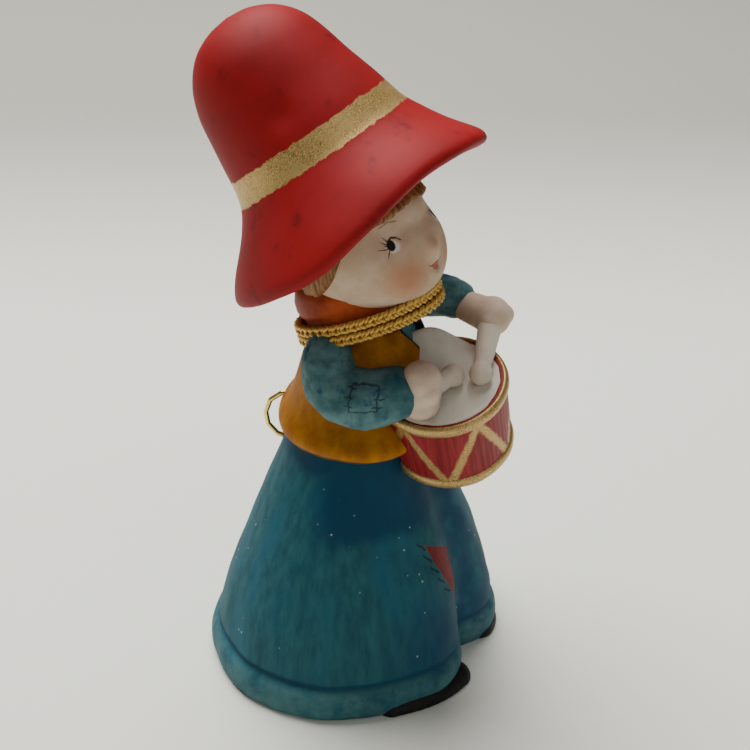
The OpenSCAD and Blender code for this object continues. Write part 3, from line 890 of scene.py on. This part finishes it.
def hatPaint():
    p = Paint("hatPaint", 0.62, 0.2)
    height = p.times(p.parts(p.local(hat["place"], (-hat["tilt"], 0, 0)))[2], 1000.0)
    broad = p.noise(p.coord, 42, 4, 0.55)
    red = p.blend(p.smooth(broad, 0.3, 0.7), (0.20, 0.0015, 0.0030), (0.29, 0.0030, 0.006))
    red = p.wear(red, (0.13, 0.001, 0.002), 150, 0.58, 0.75)
    ragged = p.times(p.math("SUBTRACT", p.noise(p.coord, 550, 4, 0.65), 0.5), 1.5)
    level = p.math("ADD", height, ragged)
    low, high = hat["band"]
    inBand = p.times(p.smooth(level, low - 0.12, low + 0.12), p.smooth(level, high + 0.12, high - 0.12))
    thin = p.smooth(p.noise(p.coord, 800, 5, 0.7), 0.22, 0.34)
    inBand = p.times(inBand, thin)
    fleck = p.node("ShaderNodeTexVoronoi", feature="F1")
    p.put(fleck.inputs["Vector"], p.coord)
    fleck.inputs["Scale"].default_value = 95
    patch = p.smooth(p.noise(p.coord, 60, 2, 0.5), 0.56, 0.6)
    chip = p.times(p.smooth(fleck.outputs["Distance"], 0.045, 0.02), patch)
    red = p.blend(p.times(chip, 0.7), red, (0.72, 0.52, 0.48))
    p.gild(inBand, p.blend(inBand, red, p.goldColour()), 0.6, (0.62, 0.46))
    p.bisque(0.2, p.times(p.noise(p.coord, 3800, 4, 0.7), inBand))
    return p.material


addPiece("hat", buildHat(), [hatPaint()], "hat")
print("hat")

# Arms, hands and sticks
arms = dict(
    right=dict(path=[(-9.6, -1.6, 74.6), (-13.8, -2.0, 72.6), (-16.0, -4.8, 68.2), (-15.6, -10.4, 66.8),
                     (-13.0, -15.6, 68.0)],
               radii=[3.9, 4.6, 5.7, 5.9, 5.2], seed=2.0, wrist=(-12.2, -17.4, 68.6),
               fist=(-11.0, -20.0, 68.4), stick=(-3.1, -23.1, 68.4), long=2.3, size=3.9),
    left=dict(path=[(8.4, -5.0, 74.2), (12.6, -9.4, 75.2), (14.0, -14.0, 75.4), (14.2, -16.6, 75.2)],
              radii=[4.4, 4.6, 4.2, 3.9], seed=9.0, wrist=(13.6, -19.0, 74.4), fist=(11.6, -25.0, 74.4),
              stick=(-1.4, -28.1, 69.2), long=0.3, size=3.8))
elbowPatch = dict(y=-12.4, z=69.6, fromX=16.5)


def buildSleeve(arm):
    seed = arm["seed"]
    bm = clay(chain(arm["path"], arm["radii"], 22), 0.42, 3)

    def shape(co):
        n = 0.30 * ripple(co, 2.6, seed) + 0.16 * ripple(co, 1.2, seed + 3)
        mid = Vector(arm["path"][2])
        away = (co - mid).normalized()
        return co + away * n
    sculpt(bm, shape)
    return bm


def sleevePaint(name):
    p = Paint(name, 0.66, 0.2)
    broad = p.noise(p.coord, 190, 4, 0.6)
    fine = p.noise(p.coord, 700, 5, 0.65)
    base = p.blend(p.smooth(broad, 0.3, 0.7), (0.022, 0.085, 0.10), (0.10, 0.21, 0.225))
    base = p.wear(base, (0.004, 0.07, 0.14), 260, 0.56, 0.72)
    base = p.blend(p.times(p.smooth(fine, 0.6, 0.72), 0.5), base, (0.015, 0.05, 0.065))
    inMm = p.parts(p.vector("SCALE", p.coord, scale=1000.0))
    at = p.wobble(p.both(inMm[1], inMm[2]), 0.35, 0.9)
    # the square elbow patch, stitched on the outer side
    y, z, fromX = elbowPatch["y"], elbowPatch["z"], elbowPatch["fromX"]
    box = [(y - 2.6, z - 2.2), (y - 2.2, z + 2.0), (y + 2.4, z + 2.2), (y + 2.2, z - 2.4)]
    lines = [p.stroke(at, a, b, 0.30) for a, b in zip(box, box[1:] + box[:1])]
    for k in range(3):
        lines.append(p.stroke(at, (y - 3.4, z - 1.4 + 1.5 * k), (y - 1.9, z - 1.5 + 1.5 * k), 0.26))
        lines.append(p.stroke(at, (y + 1.7, z - 1.4 + 1.5 * k), (y + 3.2, z - 1.2 + 1.5 * k), 0.26))
    outer = p.smooth(p.math("ABSOLUTE", inMm[0]), fromX, fromX + 1.5)
    marks = p.times(p.times(p.most(lines), 0.8), outer)
    base = p.blend(marks, base, (0.008, 0.022, 0.03))
    p.colour(base)
    p.bisque(0.35, p.times(marks, -1.5))
    return p.material


def buildHand(arm):
    fist, wrist = Vector(arm["fist"]), Vector(arm["wrist"])
    toward = (fist - wrist).normalized()
    across = toward.cross(Vector((0, 0, 1))).normalized()
    size, tall = arm["size"], Vector((0, 0, arm["long"]))
    balls = [(fist + tall, size), (fist, size * 1.02), (fist - tall, size * 0.95)]
    balls += [(wrist.lerp(fist, k / 5), mix(3.1, size * 0.95, k / 5)) for k in range(5)]
    for k in range(4):  # folded fingers, faintly marked
        finger = fist + toward * size * 0.35 + across * (k - 1.5) * size * 0.36 + tall * 0.4
        balls.append((finger, size * 0.55))
    return clay(balls, 0.3, 7)


handPaint = plainPaint("handPaint", (0.56, 0.41, 0.31), (0.66, 0.52, 0.42), 200)
stickPaint = plainPaint("stickPaint", (0.58, 0.49, 0.39), (0.68, 0.60, 0.50), 200)


def buildStick(arm):
    a, b = Vector(arm["fist"]), Vector(arm["stick"])
    balls = [(a.lerp(b, k / 18), mix(2.6, 1.6, k / 18)) for k in range(18)]
    balls.append((b, 2.3))
    return clay(balls, 0.26, 3)


for side in ("right", "left"):
    arm = arms[side]
    sleeveColour = sleevePaint(side + "SleevePaint")
    addPiece(side + "Sleeve", buildSleeve(arm), [sleeveColour], side + "_sleeve")
    addPiece(side + "Hand", buildHand(arm), [handPaint], side + "_hand")
    addPiece(side + "Stick", buildStick(arm), [stickPaint], side + "_drumstick")
print("arms")

# Drum
drum = dict(place=(-3.2, -21.0, 66.6), lean=(-2, -18), radius=12.2, height=17.5, taper=0.8, hoop=0.6,
            hoopWidth=2.2, zigs=5, apex=-6.8, rope=1.5)
drumTurn = (Matrix.Rotation(math.radians(drum["lean"][1]), 3, "Y")
            @ Matrix.Rotation(math.radians(drum["lean"][0]), 3, "X"))


def drumSpot(co):
    return Vector(drum["place"]) + drumTurn @ co


def drumRadius(depth):
    return drum["radius"] - drum["taper"] * depth / drum["height"]


def buildDrumShell():
    top, bottom = drumRadius(0), drumRadius(drum["height"])
    line = [(0.01, -1.5), (top - 2, -1.5), (top - 1.6, -0.4), (top - 1.3, -0.05)]
    line += [(drumRadius(d), -d) for d in (drum["height"] * k / 24 for k in range(25))]
    line += [(bottom - 1, -drum["height"]), (0.01, -drum["height"])]
    bm = turned(line, 168)

    def shape(co):
        a = math.atan2(co.y, co.x)
        r = math.hypot(co.x, co.y)
        if r > 8 and co.z < -0.2:
            r += 0.07 * math.sin(a * 60) + 0.12 * ripple((a * 4, co.z * 0.2, 0), 1.2, 3.0)
        return drumSpot(Vector((r * math.cos(a), r * math.sin(a), co.z)))
    sculpt(bm, shape)
    return bm


def buildHoop(depth):
    mid = depth + drum["hoopWidth"] / 2
    half = drum["hoopWidth"] / 2
    r = drumRadius(mid)
    ring = [(r - 0.5, 0, -mid + half), (r + 0.25, 0, -mid + half * 0.9), (r + drum["hoop"] - 0.05, 0, -mid),
            (r + 0.25, 0, -mid - half * 0.9), (r - 0.5, 0, -mid - half)]
    loop = curveThrough(ring, 4, True)
    bm = turned([(p.x, p.z) for p in loop] + [(loop[0].x, loop[0].z)], 168)

    def shape(co):
        a = math.atan2(co.y, co.x)
        lift = 0.22 * ripple((math.cos(a) * 3, math.sin(a) * 3, depth), 1.4, 2.0)
        return drumSpot(Vector((co.x, co.y, co.z + lift)))
    sculpt(bm, shape)
    return bm


def buildDrumHead():
    r = drumRadius(0) - 1.0
    skin = [(0.01, -0.4), (4, -0.4), (8, -0.3), (r - 1.4, -0.15), (r - 0.5, 0.1), (r, -0.1), (r - 0.1, -1.2)]
    bm = turned(skin + [(0.01, -1.4)], 120)
    wideEdges = [e for e in bm.edges if e.calc_length() > 2]
    bmesh.ops.subdivide_edges(bm, edges=wideEdges, cuts=3, use_grid_fill=True)

    def shape(co):
        back = ease((co.y + 1.5) / 8.5) if co.z > -1 else 0  # it climbs to the chest at the back
        z = co.z + back * (1.0 + 3.4 * ease((co.x - 1) / 6)) + 0.15 * ripple(co, 3.0, 2.0)
        return drumSpot(Vector((co.x, co.y, z)))
    sculpt(bm, shape)
    return bm


def drumPaint():
    p = Paint("drumPaint", 0.6, 0.25)
    radius = 11
    turn = drumTurn.to_euler("XYZ")
    flat = p.wrap(drum["place"], [math.degrees(a) for a in turn], radius=radius)
    local = p.wobble(flat, 0.3, 1.4)
    line = p.noise(flat, 1.1, 5, 0.6, (1, 0.06, 1))
    red = p.blend(p.smooth(line, 0.3, 0.7), (0.16, 0.003, 0.006), (0.30, 0.014, 0.018))
    step = 2 * math.pi * radius / drum["zigs"]
    low, high = -drum["height"] + 1.8, -1.6
    ropes = []
    for k in range(-3, 4):  # one or two run past the seam
        x = drum["apex"] + k * step
        for way in (1, -1):
            ropes.append(p.stroke(local, (x, high), (x + way * step * 0.46, low), drum["rope"]))
    mask = p.most(ropes)
    p.gild(mask, p.blend(mask, red, p.goldColour()), 0.65, (0.5, 0.45))
    p.bisque(0.25, p.math("ADD", p.times(line, 0.6), p.times(mask, 1.4)))
    return p.material


def goldPaint(name, tone):
    p = Paint(name, 0.42, 0.5)
    worn = p.smooth(p.noise(p.coord, 320, 4, 0.7), 0.66, 0.74)
    p.gild(p.math("SUBTRACT", 1.0, worn), p.blend(worn, p.goldColour(), tone), 0.7, (0.55, 0.42))
    p.bisque(0.3, p.noise(p.coord, 3800, 4, 0.7))
    return p.material


hoopPaint = goldPaint("hoopGold", (0.26, 0.02, 0.02))
whitePaint = plainPaint("drumWhite", (0.62, 0.57, 0.48), (0.74, 0.70, 0.61), 120)
addPiece("drumShell", buildDrumShell(), [drumPaint()], "drum_shell")
addPiece("drumTopHoop", buildHoop(0), [hoopPaint], "drum_top_hoop")
lowHoop = buildHoop(drum["height"] - drum["hoopWidth"])
addPiece("drumBottomHoop", lowHoop, [hoopPaint], "drum_bottom_hoop")
addPiece("drumHead", buildDrumHead(), [whitePaint], "drum_head")
print("drum")

# Braided cord
cord = dict(radius=scarf["outer"] + 1.15, height=-2.1, width=2.0, strand=0.31, pitch=1.8, strands=4, start=12,
            sweep=716, climb=2.2)


def cordMid(t):
    a = math.radians(cord["start"] + cord["sweep"] * t)
    z = cord["height"] + cord["climb"] * cord["sweep"] / 360 * (t - 0.5)
    out = Vector((math.cos(a), math.sin(a), 0))
    return out * cord["radius"] + Vector((0, 0, z)), out


def buildCord():
    length = math.radians(cord["sweep"]) * cord["radius"]
    waves = round(length / cord["pitch"])
    count = waves * 10
    half = cord["width"] / 2 - cord["strand"]
    paths = []
    for s in range(cord["strands"]):
        phase = 2 * math.pi * s / cord["strands"]
        path = []
        for k in range(count + 1):
            t = k / count
            mid, out = cordMid(t)
            w = 2 * math.pi * waves * t / 2 + phase
            across = math.sin(w) * half
            over = math.sin(2 * w) * half * 0.5 + (0.25 if s % 2 else -0.05)
            p = mid + Vector((0, 0, 1)) * across + out * over
            path.append(scarfSpot(*p))
        paths.append(path)
    return tubes(paths, cord["strand"] * 1.25, "cord")


def cordPaint():
    p = Paint("cordThread", 0.38, 0.5)
    grit = p.noise(p.coord, 6500, 3, 0.6)
    broad = p.noise(p.coord, 300, 2, 0.5)
    base = p.blend(p.smooth(grit, 0.35, 0.65), (0.32, 0.15, 0.02), (0.86, 0.56, 0.13))
    p.colour(p.blend(p.times(p.smooth(broad, 0.5, 0.8), 0.5), base, (0.55, 0.30, 0.05)))
    p.shader.inputs["Metallic"].default_value = 0.55
    p.bisque(0.4)
    return p.material


thread = cordPaint()
addPiece("neckCord", buildCord(), [thread], "neck_cord")


def buildKnot():
    r, high = cord["radius"] + 1.3, cord["height"]
    turns = [2 * math.pi * i / 20 for i in range(21)]
    loops = []
    for k in range(3):
        y0 = -1.1 + 1.1 * k
        loops.append([scarfSpot(r + 1.25 * math.cos(a), y0 + 0.25 * math.sin(a), high + 1.6 * math.sin(a))
                      for a in turns])
    tails = ([(r + 0.6, 1.0, -2.0), (r + 1.0, 1.9, -2.8), (r + 0.4, 2.2, -4.0)],
             [(r + 0.6, -1.0, -2.0), (r + 1.1, -1.9, -3.0), (r + 0.5, -2.0, -4.2)])
    for tail in tails:
        loops.append([scarfSpot(*q) for q in curveThrough(tail, 6)])
    return tubes(loops, 0.55, "knot")


addPiece("cordKnot", buildKnot(), [thread], "cord_knot")
print("cord")

# Hanger wire and clapper
hanger = dict(turn=20, width=1.0,
              route=[(6, 45), (11.5, 46), (14.8, 47), (16.6, 49.2), (17, 52), (16, 54.8), (13.6, 56.6),
                     (10, 56.4), (5, 54), (1, 51.6), (-2.2, 49), (-3.2, 47), (-2.4, 45.2), (-0.6, 44.6),
                     (1.4, 44.6)])


def buildHanger():
    turn = Matrix.Rotation(math.radians(hanger["turn"]), 3, "Z")
    path = []
    route = [Vector((0, y, z)) for y, z in hanger["route"]]
    for k, here in enumerate(route):  # straight runs with short bends
        back, ahead = route[k - 1], route[(k + 1) % len(route)]
        for a, b, t in ((back, here, 0.86), (back, here, 0.95), (here, ahead, 0.05), (here, ahead, 0.14)):
            path.append(turn @ a.lerp(b, t))
    return tubes([path], hanger["width"] / 2, "hanger", closed=True, sides=4)


def metalPaint(name, colour, dull, rough):
    p = Paint(name, rough, 0.5)
    p.shader.inputs["Metallic"].default_value = 1.0
    p.colour(p.blend(p.smooth(p.noise(p.coord, 700, 4, 0.6), 0.45, 0.8), colour, dull))
    p.bisque(0.12)
    return p.material


brass = metalPaint("brassWire", (0.85, 0.58, 0.16), (0.45, 0.27, 0.07), 0.22)
steel = metalPaint("steelWire", (0.55, 0.55, 0.56), (0.30, 0.29, 0.28), 0.34)
addPiece("hangerWire", buildHanger(), [brass], "hanger_wire")
beadWhite = plainPaint("beadWhite", (0.70, 0.66, 0.58), (0.80, 0.77, 0.70), 300)
finishes = dict(clapper_link=steel, clapper_wire=steel, bead_stop=steel, clapper_bead=beadWhite)
for node, finish in finishes.items():  # these keep the frame's own meshes
    mesh = bpy.data.objects[node].data
    mesh.materials.clear()
    mesh.materials.append(finish)
print("hanger and clapper")
